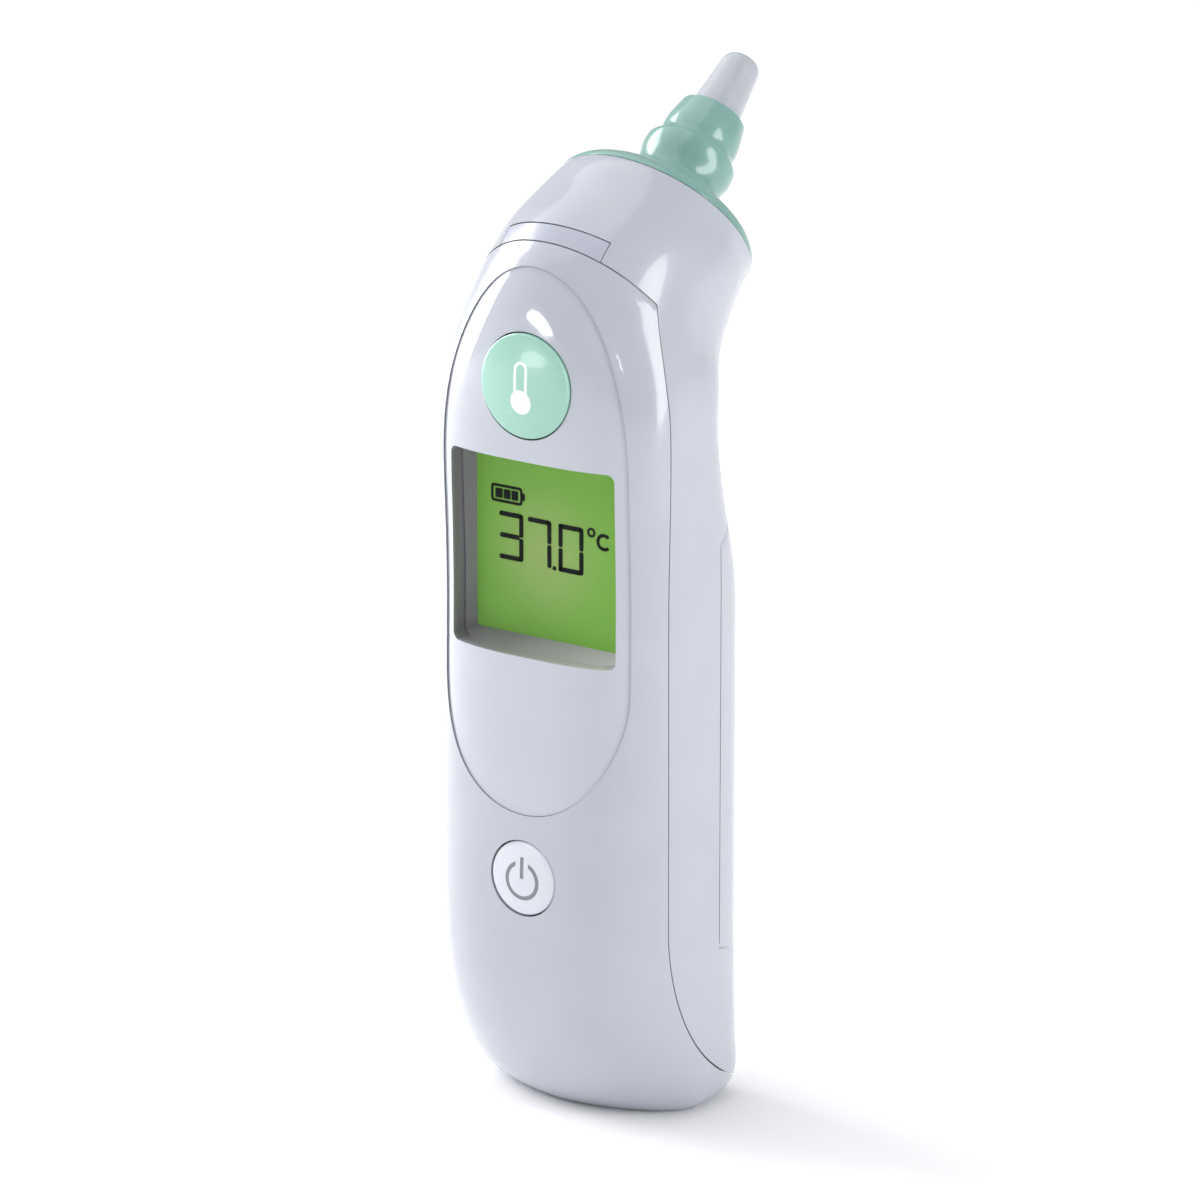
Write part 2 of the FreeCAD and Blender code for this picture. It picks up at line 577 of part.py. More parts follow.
# ------------------------------------------------------------------ all nodes
def all_nodes():
    start_face, power_face = BUTTON_SUNK - 0.1, FRONT_Y + BUTTON_SUNK - 0.1
    start_mark = start_icon(start_face - START_DOME, START_DOME + ICON_DEEP)
    start_mark = start_mark.common(dome(START_R, START_Z, start_face, START_DOME))
    power_mark = power_icon(power_face - POWER_DOME, POWER_DOME + ICON_DEEP)
    power_mark = power_mark.common(dome(POWER_R, POWER_Z, power_face, POWER_DOME))
    low_contact, high_contact = CONTACT_LOW - CONTACT_THICK, CONTACT_HIGH
    return {
        "front_cover": front_cover(),
        "rear_housing": rear_housing(),
        "battery_door": battery_door(),
        "display_panel": display_panel(),
        "display_lens": display_lens(),
        "display_hood": display_hood(),
        "lcd_glass": display_plate(LCD_Y, LCD_THICK, 0),
        "backlight_guide": display_plate(LCD_Y + LCD_THICK, GUIDE_THICK, 2.5),
        "elastomer_connector": elastomer_connector(),
        "main_board": main_board(),
        "board_screws": board_screws(),
        "case_screws": case_screws(),
        "processor_chip": chips((6, 87, 8, 8, 1.0)),
        "memory_chip": chips((6.5, 97.5, 5, 4, 0.9)),
        "small_components": chips((-3, 98, 2, 1.2, 0.7), (-3, 100.5, 2, 1.2, 0.7), (0.5, 94, 1.2, 2, 0.7),
                                  (-10, 50, 2, 1.2, 0.7), (10, 44, 2, 1.2, 0.7), (3, 70, 2, 1.2, 0.7)),
        "buzzer": buzzer(),
        "sensor_connector": chips((0, 106, 6, 4, 1.7)),
        "sensor_flex": sensor_flex(),
        "start_switch": switch(START_Z),
        "start_plunger": plunger(START_Z),
        "power_switch": switch(POWER_Z),
        "power_plunger": plunger(POWER_Z),
        "start_button": button(START_R, START_Z, start_face, START_DOME).cut(start_mark),
        "start_icon": start_mark,
        "power_button": button(POWER_R, POWER_Z, power_face, POWER_DOME).cut(power_mark),
        "power_icon": power_mark,
        "ejector_button": ejector_button(),
        "ejector_carrier": ejector_carrier(),
        "ejector_ring": ejector_ring(),
        "probe_base": probe_base(),
        "probe_collar": probe_collar(),
        "probe_tip": probe_tip(),
        "tip_seal": probe_ring(TIP_ROOT_R, TIP_BORE_R, 15.2, 15.65),
        "sensor_holder": sensor_holder(),
        "tip_heater": probe_ring(2.25, 1.92, 19.5, 23.8),
        "infrared_sensor": rod(on_axis(23.9), AXIS, 2.2, 3.4),
        "sensor_window": rod(on_axis(27.3), AXIS, 2.2, 0.5),
        "battery_tray": battery_tray(),
        "battery_left": cell(-CELL_X, False),
        "battery_right": cell(CELL_X, True),
        "contact_springs": group([contact_spring(CELL_X, CONTACT_LOW, 1),
                                  contact_spring(-CELL_X, CONTACT_HIGH, -1)]),
        "contact_plates": group([contact(-13.5, -1.5, low_contact), contact(1.5, 13.5, low_contact)]),
        "contact_link": contact(-13.5, 13.5, high_contact),
    }


def save_all(nodes):
    """Centre the thermometer over the origin, stand it on Z = 0 and write one file per node."""
    os.makedirs("parts", exist_ok=True)
    corners = [p for shape in nodes.values() for p in shape.tessellate(0.02)[0]]
    low_y, high_y = min(p.y for p in corners), max(p.y for p in corners)
    move = V(0, -(low_y + high_y) / 2, -min(p.z for p in corners))
    print("moved by", move)
    for name, shape in nodes.items():
        shape.translate(move)
        shape.exportStep(os.path.join("parts", name + ".step"))
        print(name, shape.isValid(), len(shape.Solids), round(shape.Volume, 1))


save_all(all_nodes())
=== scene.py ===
import json
import math

import bpy
from mathutils import Matrix, Vector


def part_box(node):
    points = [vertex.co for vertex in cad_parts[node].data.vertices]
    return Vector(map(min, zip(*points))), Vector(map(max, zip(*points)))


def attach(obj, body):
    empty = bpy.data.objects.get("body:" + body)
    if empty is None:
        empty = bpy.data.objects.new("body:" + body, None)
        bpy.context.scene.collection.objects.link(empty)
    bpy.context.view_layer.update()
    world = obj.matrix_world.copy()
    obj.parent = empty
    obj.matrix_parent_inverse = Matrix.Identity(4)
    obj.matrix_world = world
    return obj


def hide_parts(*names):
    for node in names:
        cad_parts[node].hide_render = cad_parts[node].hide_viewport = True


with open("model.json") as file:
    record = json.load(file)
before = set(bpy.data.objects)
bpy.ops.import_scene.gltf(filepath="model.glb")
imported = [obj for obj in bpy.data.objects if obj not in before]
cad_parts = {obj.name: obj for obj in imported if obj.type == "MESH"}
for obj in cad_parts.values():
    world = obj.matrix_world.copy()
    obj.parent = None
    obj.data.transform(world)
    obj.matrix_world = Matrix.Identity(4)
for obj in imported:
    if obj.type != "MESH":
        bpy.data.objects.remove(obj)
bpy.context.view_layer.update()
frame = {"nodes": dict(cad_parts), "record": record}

nodes = frame["nodes"]
print("frame loaded")


def clearSelection():
    if bpy.context.object and bpy.context.object.mode != "OBJECT":
        bpy.ops.object.mode_set(mode="OBJECT")
    bpy.ops.object.select_all(action="DESELECT")


def pick(obj):
    clearSelection()
    obj.select_set(True)
    bpy.context.view_layer.objects.active = obj


def settle(obj):
    # puts the object's place into its mesh
    pick(obj)
    bpy.ops.object.transform_apply(location=True, rotation=True, scale=True)


mergeWithin = 0.000002    # metres between corners that are one
smoothUpTo = 35           # degrees, past which an edge stays sharp


def copyOf(node, name):
    # a merged, smoothly shaded copy of a CAD node, which it replaces
    source = nodes[node]
    mesh = source.data.copy()
    mesh.name = name
    obj = bpy.data.objects.new(name, mesh)
    bpy.context.collection.objects.link(obj)
    pick(obj)
    bpy.ops.object.mode_set(mode="EDIT")
    bpy.ops.mesh.select_all(action="SELECT")
    bpy.ops.mesh.remove_doubles(threshold=mergeWithin)
    bpy.ops.object.mode_set(mode="OBJECT")
    if mesh.has_custom_normals:
        bpy.ops.mesh.customdata_custom_splitnormals_clear()
    bpy.ops.object.shade_smooth_by_angle(angle=math.radians(smoothUpTo))
    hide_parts(node)
    return obj


def newMaterial(name):
    mat = bpy.data.materials.new(name)
    mat.use_nodes = True
    tree = mat.node_tree
    return mat, tree.nodes, tree.links, tree.nodes["Principled BSDF"]


def objectNoise(nodesOf, links, scale, detail=3.0, stretch=(1, 1, 1)):
    coords = nodesOf.new("ShaderNodeTexCoord")
    mapping = nodesOf.new("ShaderNodeMapping")
    mapping.inputs["Scale"].default_value = stretch
    noise = nodesOf.new("ShaderNodeTexNoise")
    noise.inputs["Scale"].default_value = scale
    noise.inputs["Detail"].default_value = detail
    links.new(coords.outputs["Object"], mapping.inputs["Vector"])
    links.new(mapping.outputs["Vector"], noise.inputs["Vector"])
    return noise


def ramp(nodesOf, links, source, stops):
    node = nodesOf.new("ShaderNodeValToRGB")
    elements = node.color_ramp.elements
    while len(elements) < len(stops):
        elements.new(0.5)
    for element, (place, colour) in zip(elements, stops):
        element.position = place
        element.color = (*colour, 1)
    links.new(source, node.inputs["Fac"])
    return node


def unevenGloss(made, links, shader, source, rough):
    gloss = made.new("ShaderNodeMapRange")
    gloss.inputs["To Min"].default_value, gloss.inputs["To Max"].default_value = rough
    links.new(source, gloss.inputs["Value"])
    links.new(gloss.outputs["Result"], shader.inputs["Roughness"])


mouldedPlastic = {
    "whiteGloss": dict(light=(0.465, 0.482, 0.54), dark=(0.449, 0.466, 0.524), rough=(0.18, 0.26), coat=0.5),
    "panelGloss": dict(light=(0.49, 0.51, 0.57), dark=(0.478, 0.498, 0.558), rough=(0.06, 0.10), coat=1.0),
    "powerWhite": dict(light=(0.66, 0.68, 0.74), dark=(0.645, 0.665, 0.725), rough=(0.20, 0.28), coat=0.3),
    "mintGloss": dict(light=(0.34, 0.61, 0.505), dark=(0.32, 0.585, 0.485), rough=(0.22, 0.30), coat=0.4),
    "mintCollar": dict(light=(0.195, 0.375, 0.33), dark=(0.178, 0.352, 0.308), rough=(0.18, 0.28), coat=0.5),
    "padGrey": dict(light=(0.44, 0.46, 0.54), dark=(0.425, 0.445, 0.525), rough=(0.24, 0.34), coat=0.2),
    "tipGrey": dict(light=(0.45, 0.47, 0.515), dark=(0.43, 0.45, 0.495), rough=(0.22, 0.32), coat=0.2),
    "innerWhite": dict(light=(0.70, 0.70, 0.68), dark=(0.64, 0.64, 0.62), rough=(0.40, 0.55), coat=0.0),
    "chipBlack": dict(light=(0.020, 0.020, 0.022), dark=(0.012, 0.012, 0.013), rough=(0.45, 0.60), coat=0.0),
    "rubberGrey": dict(light=(0.075, 0.075, 0.08), dark=(0.05, 0.05, 0.055), rough=(0.60, 0.75), coat=0.0),
    "flexAmber": dict(light=(0.50, 0.19, 0.035), dark=(0.40, 0.145, 0.025), rough=(0.25, 0.38), coat=0.3),
    "iconWhite": dict(light=(0.88, 0.91, 0.91), dark=(0.83, 0.87, 0.87), rough=(0.30, 0.42), coat=0.0),
    "iconGrey": dict(light=(0.21, 0.22, 0.245), dark=(0.185, 0.195, 0.22), rough=(0.35, 0.48), coat=0.0),
    "markInk": dict(light=(0.004, 0.007, 0.004), dark=(0.002, 0.004, 0.002), rough=(0.50, 0.60), coat=0.0,
                    specular=0.08),
}


mouldedSkin = {
    "cloudScale": 90,
    "cloudStops": (0.35, 0.65),
    "smearScale": 260,
    "skinScale": 2600,
    "skinBump": 0.02,
    "skinDepth": 0.00004,    # metres
    "coatRough": 0.04,
    "ior": 1.5,
    "specular": 0.5,         # unless the plastic has its own
}


def plastic(name, s):
    # moulded plastic: slight clouding in the colour, uneven gloss and a fine skin texture
    look = mouldedPlastic[name]
    mat, made, links, shader = newMaterial(name)
    cloud = objectNoise(made, links, s["cloudScale"], 2.0)
    low, high = s["cloudStops"]
    tint = ramp(made, links, cloud.outputs["Fac"], [(low, look["dark"]), (high, look["light"])])
    links.new(tint.outputs["Color"], shader.inputs["Base Color"])
    smear = objectNoise(made, links, s["smearScale"], 4.0)
    unevenGloss(made, links, shader, smear.outputs["Fac"], look["rough"])
    skin = objectNoise(made, links, s["skinScale"], 2.0)
    bump = made.new("ShaderNodeBump")
    bump.inputs["Strength"].default_value = s["skinBump"]
    bump.inputs["Distance"].default_value = s["skinDepth"]
    links.new(skin.outputs["Fac"], bump.inputs["Height"])
    links.new(bump.outputs["Normal"], shader.inputs["Normal"])
    shader.inputs["Coat Weight"].default_value = look["coat"]
    shader.inputs["Coat Roughness"].default_value = s["coatRough"]
    shader.inputs["IOR"].default_value = s["ior"]
    shader.inputs["Specular IOR Level"].default_value = look.get("specular", s["specular"])
    return mat


metals = {
    "steel": dict(light=(0.56, 0.56, 0.58), dark=(0.46, 0.46, 0.48), rough=(0.22, 0.38), scale=900),
    "nickel": dict(light=(0.66, 0.63, 0.57), dark=(0.58, 0.55, 0.50), rough=(0.14, 0.28), scale=700),
    "copper": dict(light=(0.70, 0.36, 0.20), dark=(0.60, 0.29, 0.16), rough=(0.22, 0.36), scale=800),
    "sensorWindow": dict(light=(0.10, 0.10, 0.13), dark=(0.06, 0.06, 0.08), rough=(0.04, 0.08), scale=500),
}


metalGrain = dict(stretch=(1, 1, 6), detail=4.0, stops=(0.3, 0.7))


def metal(name, s):
    look = metals[name]
    mat, made, links, shader = newMaterial(name)
    grain = objectNoise(made, links, look["scale"], s["detail"], s["stretch"])
    low, high = s["stops"]
    tint = ramp(made, links, grain.outputs["Fac"], [(low, look["dark"]), (high, look["light"])])
    links.new(tint.outputs["Color"], shader.inputs["Base Color"])
    unevenGloss(made, links, shader, grain.outputs["Fac"], look["rough"])
    shader.inputs["Metallic"].default_value = 1.0
    return mat


clearAcrylic = {
    "dark": (0.020, 0.024, 0.024),
    "light": (0.028, 0.032, 0.032),
    "stops": (0.3, 0.7),
    "smearScale": 200,
    "rough": (0.01, 0.03),
    "alpha": 0.07,
    "ior": 1.45,
}


def lensMaterial(s):
    # thin clear acrylic with a faint unevenness in its gloss
    mat, made, links, shader = newMaterial("clearLens")
    smear = objectNoise(made, links, s["smearScale"], 3.0)
    low, high = s["stops"]
    tint = ramp(made, links, smear.outputs["Fac"], [(low, s["dark"]), (high, s["light"])])
    links.new(tint.outputs["Color"], shader.inputs["Base Color"])
    unevenGloss(made, links, shader, smear.outputs["Fac"], s["rough"])
    shader.inputs["Alpha"].default_value = s["alpha"]
    shader.inputs["IOR"].default_value = s["ior"]
    return mat


wanderNoise = dict(scale=300, detail=2.0, amount=0.04)


def alongAxis(made, links, axis, low, high):
    # 0 to 1 between two places on one axis of the object, with a little wander
    coords = made.new("ShaderNodeTexCoord")
    split = made.new("ShaderNodeSeparateXYZ")
    links.new(coords.outputs["Object"], split.inputs["Vector"])
    span = made.new("ShaderNodeMapRange")
    span.inputs["From Min"].default_value, span.inputs["From Max"].default_value = low, high
    links.new(split.outputs[axis], span.inputs["Value"])
    noise = objectNoise(made, links, wanderNoise["scale"], wanderNoise["detail"])
    wander = made.new("ShaderNodeMath")
    wander.operation = "MULTIPLY_ADD"
    wander.inputs[1].default_value = wanderNoise["amount"]
    links.new(noise.outputs["Fac"], wander.inputs[0])
    links.new(span.outputs["Result"], wander.inputs[2])
    return wander.outputs["Value"]


lcdGlow = {
    "centre": (-0.001, 0.0135),      # across, and above the glass's lower edge
    "reach": 0.013,
    "middle": (0.275, 0.415, 0.120),
    "edge": (0.170, 0.395, 0.055),
    "emission": 0.26,
    "specular": 0.15,
    "rough": (0.30, 0.40),
    "smearScale": 200,
}


def lcdMaterial(s):
    # green back-lit glass, palest where the light guide is brightest
    mat, made, links, shader = newMaterial("lcdGreen")
    low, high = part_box("lcd_glass")
    coords = made.new("ShaderNodeTexCoord")
    away = made.new("ShaderNodeVectorMath")
    away.operation = "DISTANCE"
    away.inputs[1].default_value = (s["centre"][0], low[1], low[2] + s["centre"][1])
    links.new(coords.outputs["Object"], away.inputs[0])
    share = made.new("ShaderNodeMapRange")
    share.interpolation_type = "SMOOTHSTEP"
    share.inputs["From Max"].default_value = s["reach"]
    links.new(away.outputs["Value"], share.inputs["Value"])
    tint = ramp(made, links, share.outputs["Result"], [(0.0, s["middle"]), (1.0, s["edge"])])
    links.new(tint.outputs["Color"], shader.inputs["Base Color"])
    links.new(tint.outputs["Color"], shader.inputs["Emission Color"])
    shader.inputs["Emission Strength"].default_value = s["emission"]
    shader.inputs["Specular IOR Level"].default_value = s["specular"]
    smear = objectNoise(made, links, s["smearScale"], 3.0)
    unevenGloss(made, links, shader, smear.outputs["Fac"], s["rough"])
    return mat


# painted shade: the hood's grey is darkest at its left and pales to the right, as shade falls in the
# display's recess
hoodGreyPaintedShade = dict(left=(0.315, 0.290, 0.335), right=(0.66, 0.63, 0.68), rough=0.30, darkTo=0.4)


def hoodMaterial(s):
    # satin grey, with painted shade that darkens it towards the left and pales it to the right
    mat, made, links, shader = newMaterial("hoodGreyPaintedShade")
    low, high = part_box("display_hood")
    span = alongAxis(made, links, "X", low[0] * s["darkTo"], high[0])
    tint = ramp(made, links, span, [(0.0, s["left"]), (1.0, s["right"])])
    links.new(tint.outputs["Color"], shader.inputs["Base Color"])
    shader.inputs["Roughness"].default_value = s["rough"]
    return mat


cellJacket = {
    "body": (0.016, 0.017, 0.020),
    "band": (0.50, 0.23, 0.09),
    "cap": (0.6, 0.59, 0.57),
    "bandFrom": (0.74, 0.01),       # where the band starts, and how soon it is full
    "capFrom": (0.985, 0.995),
    "rough": 0.28,
    "metallic": 0.35,
}


def cellMaterial(name, upright, s):
    # dark printed jacket with a copper-coloured band at the positive end
    mat, made, links, shader = newMaterial(name + "Jacket")
    low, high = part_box(name)
    ends = (low[2], high[2]) if upright else (high[2], low[2])
    span = alongAxis(made, links, "Z", *ends)
    share, edge = s["bandFrom"]
    bandEnd, capStart = s["capFrom"]
    tint = ramp(made, links, span, [(share, s["body"]), (share + edge, s["band"]), (bandEnd, s["band"]),
                                    (capStart, s["cap"])])
    links.new(tint.outputs["Color"], shader.inputs["Base Color"])
    shader.inputs["Roughness"].default_value = s["rough"]
    shader.inputs["Metallic"].default_value = s["metallic"]
    return mat


boardGreen = {
    "mask": (0.012, 0.085, 0.035),
    "track": (0.022, 0.135, 0.055),
    "trackScale": 420,
    "trackStops": (0.42, 0.50, 0.60),
    "rough": 0.38,
}


def boardMaterial(s):
    # solder mask with tracks showing faintly through it
    mat, made, links, shader = newMaterial("boardGreen")
    coords = made.new("ShaderNodeTexCoord")
    cells = made.new("ShaderNodeTexVoronoi")
    cells.distance = "MANHATTAN"
    cells.feature = "F1"
    cells.inputs["Scale"].default_value = s["trackScale"]
    links.new(coords.outputs["Object"], cells.inputs["Vector"])
    stops = list(zip(s["trackStops"], (s["mask"], s["track"], s["mask"])))
    tint = ramp(made, links, cells.outputs["Distance"], stops)
    links.new(tint.outputs["Color"], shader.inputs["Base Color"])
    shader.inputs["Roughness"].default_value = s["rough"]
    return mat


materials = {name: plastic(name, mouldedSkin) for name in mouldedPlastic}
materials.update({name: metal(name, metalGrain) for name in metals})
materials["clearLens"] = lensMaterial(clearAcrylic)
materials["lcdGreen"] = lcdMaterial(lcdGlow)
materials["hoodGreyPaintedShade"] = hoodMaterial(hoodGreyPaintedShade)
materials["jacketLeft"] = cellMaterial("battery_left", False, cellJacket)
materials["jacketRight"] = cellMaterial("battery_right", True, cellJacket)
materials["boardGreen"] = boardMaterial(boardGreen)
print("materials made")


def dress(obj, name):
    if not obj.data.materials:
        obj.data.materials.append(None)
    for i in range(len(obj.data.materials)):
        obj.data.materials[i] = materials[name]


nodeLooks = {
    "front_cover": "whiteGloss", "rear_housing": "whiteGloss", "battery_door": "whiteGloss",
    "display_panel": "panelGloss", "display_lens": "clearLens", "display_hood": "hoodGreyPaintedShade",
    "lcd_glass": "lcdGreen", "backlight_guide": "innerWhite", "elastomer_connector": "rubberGrey",
    "main_board": "boardGreen", "board_screws": "steel", "case_screws": "steel",
    "processor_chip": "chipBlack", "memory_chip": "chipBlack", "small_components": "innerWhite",
    "buzzer": "chipBlack", "sensor_connector": "innerWhite", "sensor_flex": "flexAmber",
    "start_switch": "chipBlack", "start_plunger": "innerWhite", "power_switch": "chipBlack",
    "power_plunger": "innerWhite", "start_button": "mintGloss", "start_icon": "iconWhite",
    "power_button": "powerWhite", "power_icon": "iconGrey", "ejector_button": "padGrey",
    "ejector_carrier": "innerWhite", "ejector_ring": "mintCollar", "probe_base": "innerWhite",
    "probe_collar": "mintCollar", "probe_tip": "tipGrey", "tip_seal": "rubberGrey",
    "sensor_holder": "innerWhite", "tip_heater": "copper", "infrared_sensor": "steel",
    "sensor_window": "sensorWindow", "battery_tray": "innerWhite", "battery_left": "jacketLeft",
    "battery_right": "jacketRight", "contact_springs": "nickel", "contact_plates": "nickel",
    "contact_link": "nickel",
}
for node, look in nodeLooks.items():
    dress(nodes[node], look)

bodyOf = {n: body for body, names in frame["record"]["behaviour"]["bodies"].items() for n in names}
shells = ["front_cover", "rear_housing", "battery_door", "display_panel", "display_lens", "display_hood",
          "ejector_button", "start_button", "power_button", "ejector_ring", "probe_collar", "probe_tip"]
windowLow, windowHigh = [Vector(corner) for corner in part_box("display_lens")]


windowEdge = {
    "reach": 0.0001,    # metres past the lens that still count as the window's edge
    "corner": 0.0013,   # metres that a rounded corner runs along each side
    "square": 0.97,     # a face this square to X or Z is a straight wall
    "forward": 0.3,     # a corner's wall faces forward less than this
}


def paintedShadeWalls(obj, s):
    # painted shade: the white walls round the display window take the hood's grey, with its painted
    # darkening to the left, as shade in the recess
    obj.data.materials.append(materials["hoodGreyPaintedShade"])
    reach = s["reach"]
    for face in obj.data.polygons:
        x, z = face.center.x, face.center.z
        straight = abs(face.normal.x) > s["square"] or abs(face.normal.z) > s["square"]
        across = windowLow[0] - reach < x < windowHigh[0] + reach
        upright = windowLow[2] - reach < z < windowHigh[2] + reach
        nearSide = min(x - windowLow[0], windowHigh[0] - x) < s["corner"]
        nearEnd = min(z - windowLow[2], windowHigh[2] - z) < s["corner"]
        rounded = nearSide and nearEnd and abs(face.normal.y) < s["forward"]
        if across and upright and (straight or rounded):
            face.material_index = 1


lensShare = 0.9965    # of the window's width and height


def fitLoose(obj, share):
    # leaves a hair of air round the lens, so its edge doesn't lie in the window's edge
    pick(obj)
    bpy.ops.object.mode_set(mode="EDIT")
    bpy.ops.mesh.select_all(action="SELECT")
    bpy.ops.transform.resize(value=(share, 1, share), center_override=(windowLow + windowHigh) / 2)
    bpy.ops.object.mode_set(mode="OBJECT")


for node in shells:
    piece = copyOf(node, node + "_skin")
    dress(piece, nodeLooks[node])
    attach(piece, bodyOf[node])
    if node in ("front_cover", "display_panel"):
        # painted shade on the window walls of the white cover and panel
        paintedShadeWalls(piece, windowEdge)
    if node == "display_lens":
        fitLoose(piece, lensShare)
print("shells dressed")


mm = 1000    # millimetres in a metre

# the display's figures, in millimetres across the glass and up from its lower edge
lcdFigures = {
    "stroke": 0.72,
    "gap": 0.14,            # between the two halves of an upright
    "thick": 0.05,
    "sink": 0.01,           # depth of each mark's back in the glass
    "digits": [("abcdg", -9.16, -4.99, 11.5, 18.5), ("abc", -4.18, -0.10, 11.4, 18.4),
               ("abcdef", 1.13, 5.45, 11.3, 18.3)],
    "point": dict(x=0.42, z=11.6, size=0.62, corner=0.3, steps=3),
    "degree": dict(x=6.80, z=17.9, size=1.45, corner=0.49, steps=6, stroke=0.38),
    "unit": dict(x=(7.70, 10.28), z=(15.55, 18.05), corner=0.48, steps=8, stroke=0.50, openFrom=0.25),
    "mouth": (0.9, 0.25),   # slope and first half height of the unit's opening
    "cell": dict(x=(-10.60, -5.10), z=(19.70, 22.35), corner=0.55, steps=4, stroke=0.42),
    "terminal": dict(back=0.05, out=0.42, half=0.55, corner=0.12),
    "bars": dict(x=[(-9.85, -8.55), (-8.40, -7.20), (-7.05, -5.85)], inset=0.62, corner=0.08),
}
# shares of the stroke, but for the inset, which is in millimetres
segmentShape = dict(trim=0.3, short=0.9, corner=0.252, inset=0.1)
glassLow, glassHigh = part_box("lcd_glass")
marks = []


def mark(x0, x1, z0, z1, corner, steps=1, rim=None, openFrom=None):
    # one thin mark: a plate with cut or rounded corners, hollow if it has a rim
    s = lcdFigures
    clearSelection()
    middleX, middleZ = (x0 + x1) / (2 * mm), glassLow[2] + (z0 + z1) / (2 * mm)
    centre = (middleX, glassLow[1] - (s["thick"] - s["sink"]) / mm, middleZ)
    bpy.ops.mesh.primitive_plane_add(size=1 / mm, location=centre, rotation=(math.pi / 2, 0, 0))
    obj = bpy.context.object
    obj.scale = (x1 - x0, z1 - z0, 1)
    settle(obj)
    bpy.ops.object.mode_set(mode="EDIT")
    bpy.ops.mesh.select_all(action="SELECT")
    bpy.ops.mesh.bevel(offset=corner / mm, offset_type="OFFSET", segments=steps, affect="VERTICES")
    bpy.ops.mesh.select_all(action="SELECT")
    if rim:
        bpy.ops.mesh.inset(thickness=rim / mm, depth=0)
        bpy.ops.mesh.delete(type="FACE")
    if openFrom:
        slope, halfHeight = s["mouth"]
        bpy.ops.mesh.select_all(action="DESELECT")
        bpy.ops.object.mode_set(mode="OBJECT")
        for face in obj.data.polygons:
            across, up = face.center.x * mm - openFrom, face.center.z * mm - middleZ * mm
            face.select = across > 0 and abs(up) < across * slope + halfHeight
        bpy.ops.object.mode_set(mode="EDIT")
        bpy.ops.mesh.delete(type="FACE")
    bpy.ops.mesh.select_all(action="SELECT")
    bpy.ops.mesh.extrude_region_move(TRANSFORM_OT_translate={"value": (0, s["thick"] / mm, 0)})
    bpy.ops.mesh.select_all(action="SELECT")
    bpy.ops.mesh.normals_make_consistent(inside=False)
    bpy.ops.object.mode_set(mode="OBJECT")
    marks.append(obj)


def digit(lit, x0, x1, z0, z1, s):
    w, gap = lcdFigures["stroke"], lcdFigures["gap"] / 2
    middle, end, short, inset = (z0 + z1) / 2, x1 - w * s["trim"], x1 - w * s["short"], s["inset"]
    bars = {
        "a": (x0, end, z1 - w, z1), "g": (x0 + inset, short, middle - w / 2, middle + w / 2),
        "d": (x0, end, z0, z0 + w), "b": (x1 - w, x1, middle + gap, z1 - inset),
        "c": (x1 - w, x1, z0 + inset, middle - gap), "f": (x0, x0 + w, middle + gap, z1 - inset),
        "e": (x0, x0 + w, z0 + inset, middle - gap),
    }
    for name in lit:
        mark(*bars[name], w * s["corner"])


def addFigures(s):
    for lit, x0, x1, z0, z1 in s["digits"]:
        digit(lit, x0, x1, z0, z1, segmentShape)
    for spot in (s["point"], s["degree"]):
        x, z, half = spot["x"], spot["z"], spot["size"] / 2
        corner = spot["size"] * spot["corner"]
        mark(x - half, x + half, z - half, z + half, corner, spot["steps"], spot.get("stroke"))
    unit = s["unit"]
    (x0, x1), (z0, z1) = unit["x"], unit["z"]
    opening = (x0 + x1) / 2 + unit["openFrom"]
    mark(x0, x1, z0, z1, (z1 - z0) * unit["corner"], unit["steps"], unit["stroke"], opening)
    cell = s["cell"]
    (x0, x1), (z0, z1) = cell["x"], cell["z"]
    mark(x0, x1, z0, z1, cell["corner"], cell["steps"], cell["stroke"])
    tip, middle = s["terminal"], (z0 + z1) / 2
    mark(x1 - tip["back"], x1 + tip["out"], middle - tip["half"], middle + tip["half"], tip["corner"])
    bars = s["bars"]
    for barStart, barEnd in bars["x"]:
        mark(barStart, barEnd, z0 + bars["inset"], z1 - bars["inset"], bars["corner"])
    clearSelection()
    for obj in marks:
        obj.select_set(True)
    bpy.context.view_layer.objects.active = marks[0]
    bpy.ops.object.join()
    figures = bpy.context.object
    figures.name = "lcd_figures"
    settle(figures)
    figures.data.materials.append(materials["markInk"])
    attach(figures, "body")


addFigures(lcdFigures)
print("display figures made")


# the middle of the start button's face, which the camera's aim is measured from
startLow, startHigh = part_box("start_button")
axisPoint = Vector((0, startLow[1], (startLow[2] + startHigh[2]) / 2))

cameraSet = {
    "azimuth": 35.9,        # degrees from the front towards +X
    "elevation": 16.7,
    "distance": 1.0,
    "widthSeen": 0.1674,    # metres across the frame at the aim
    "aimDown": 0.0306,      # aim below the start button
    "aimAcross": 0.01108,   # aim to the camera's right
    "sensor": 36,           # millimetres
    "clip": 0.01,
}


def addCamera(s):
    az, el = math.radians(s["azimuth"]), math.radians(s["elevation"])
    back = Vector((math.sin(az) * math.cos(el), -math.cos(az) * math.cos(el), math.sin(el)))
    right = Vector((math.cos(az), math.sin(az), 0))
    up = back.cross(right)
    aim = axisPoint - Vector((0, 0, s["aimDown"])) + right * s["aimAcross"]
    data = bpy.data.cameras.new("camera")
    data.sensor_width = s["sensor"]
    data.lens = s["sensor"] * s["distance"] / s["widthSeen"]
    data.clip_start = s["clip"]
    cam = bpy.data.objects.new("camera", data)
    bpy.context.collection.objects.link(cam)
    cam.matrix_world = Matrix.Translation(aim + back * s["distance"]) @ Matrix(
        (right, up, back)).transposed().to_4x4()
    bpy.context.scene.camera = cam
    return aim


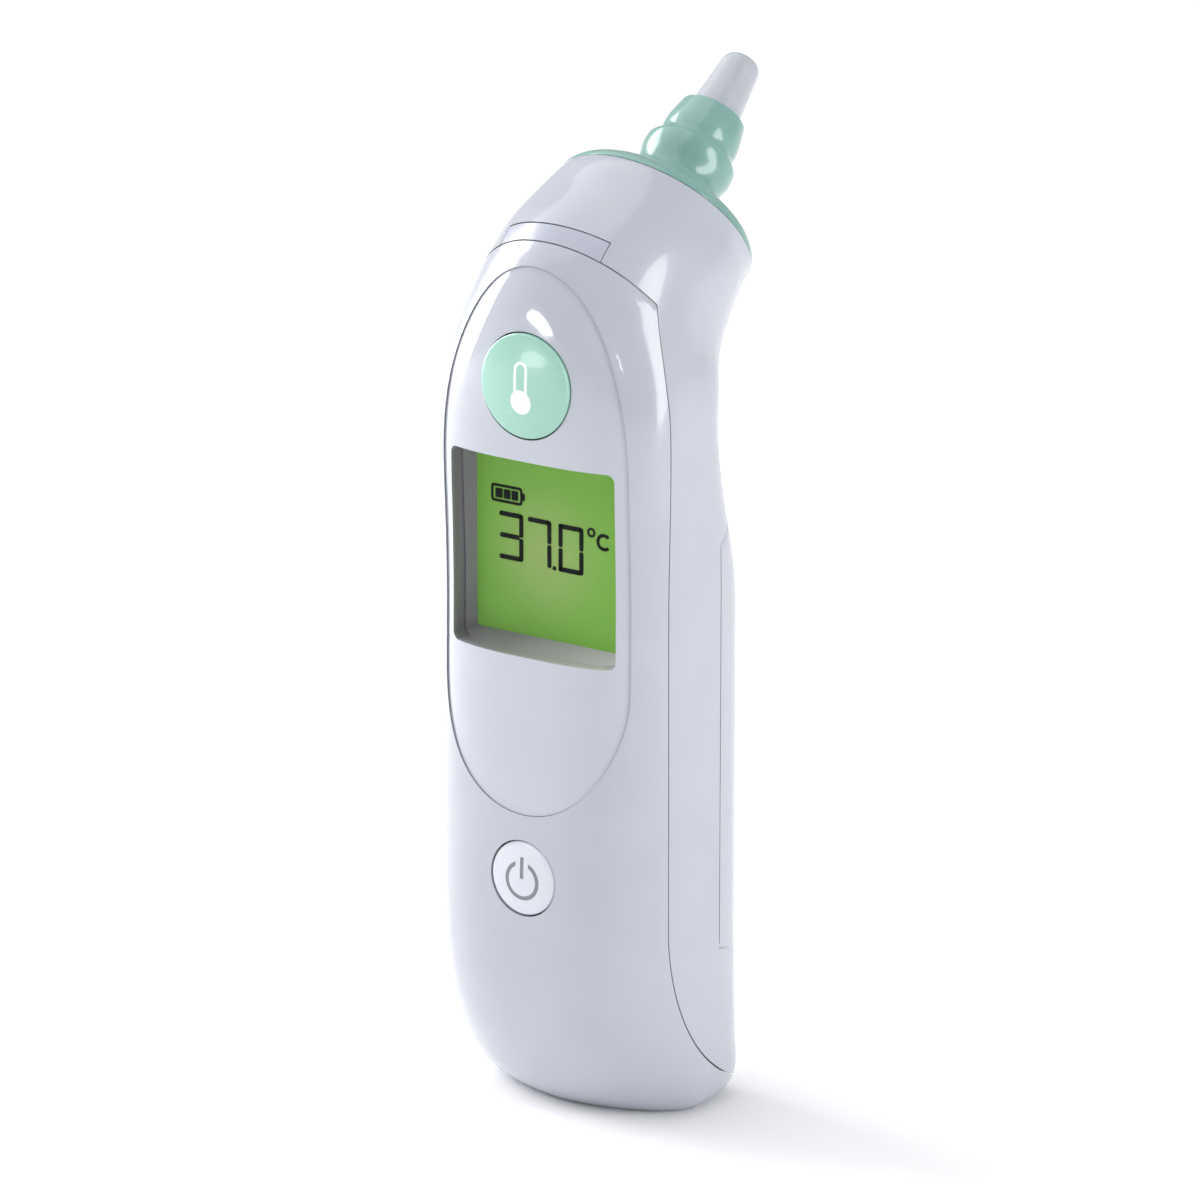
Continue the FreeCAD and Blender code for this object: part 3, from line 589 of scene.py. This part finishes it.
def areaLight(name, place, size, power, target):
    data = bpy.data.lights.new(name, "AREA")
    data.shape = "ELLIPSE" if "Softbox" in name else "RECTANGLE"
    data.size, data.size_y = size
    data.energy = power
    lamp = bpy.data.objects.new(name, data)
    bpy.context.collection.objects.link(lamp)
    lamp.location = place
    lamp.rotation_euler = (Vector(target) - Vector(place)).to_track_quat("-Z", "Y").to_euler()


paleFloor = {
    "size": 6,
    "dark": (0.93, 0.93, 0.935),
    "light": (0.95, 0.95, 0.955),
    "cloudScale": 3,
    "stops": (0.3, 0.7),
    "rough": 0.9,
}


def addFloor(s):
    clearSelection()
    bpy.ops.mesh.primitive_plane_add(size=s["size"], location=(0, 0, 0))
    floor = bpy.context.object
    floor.name = "floor"
    mat, made, links, shader = newMaterial("paleFloor")
    cloud = objectNoise(made, links, s["cloudScale"], 2.0)
    low, high = s["stops"]
    tint = ramp(made, links, cloud.outputs["Fac"], [(low, s["dark"]), (high, s["light"])])
    links.new(tint.outputs["Color"], shader.inputs["Base Color"])
    shader.inputs["Roughness"].default_value = s["rough"]
    floor.data.materials.append(mat)


studio = {
    "sky": (0.97, 0.98, 1.0, 1),
    "skyStrength": 0.52,
    "areas": [              # name, place, size and power
        ("leftStrip", (-0.80, -0.08, 0.24), (0.50, 0.90), 9.0),
        ("rightStrip", (0.85, 0.12, 0.25), (0.30, 0.80), 4.4),
        ("panelSoftbox", (-0.40, -0.82, 0.11), (0.26, 0.12), 0.55),
        ("shoulderSoftbox", (0.56, -0.70, 0.36), (0.03, 0.10), 0.12),
    ],
    "sunEnergy": 1.45,
    "sunAngle": 1.4,        # radians across
    "sunTurn": (8, -24, 0),     # degrees about X, Y and Z
}


def addLights(s, target):
    world = bpy.data.worlds.new("studio")
    bpy.context.scene.world = world
    world.use_nodes = True
    sky = world.node_tree.nodes["Background"]
    sky.inputs["Color"].default_value = s["sky"]
    sky.inputs["Strength"].default_value = s["skyStrength"]
    for name, place, size, power in s["areas"]:
        areaLight(name, place, size, power, target)
    sun = bpy.data.lights.new("overhead", "SUN")
    sun.energy = s["sunEnergy"]
    sun.angle = s["sunAngle"]
    overhead = bpy.data.objects.new("overhead", sun)
    bpy.context.collection.objects.link(overhead)
    overhead.rotation_euler = [math.radians(turn) for turn in s["sunTurn"]]


aim = addCamera(cameraSet)
addFloor(paleFloor)
addLights(studio, aim)
bpy.context.scene.view_settings.view_transform = "Standard"
print("camera and lights placed")
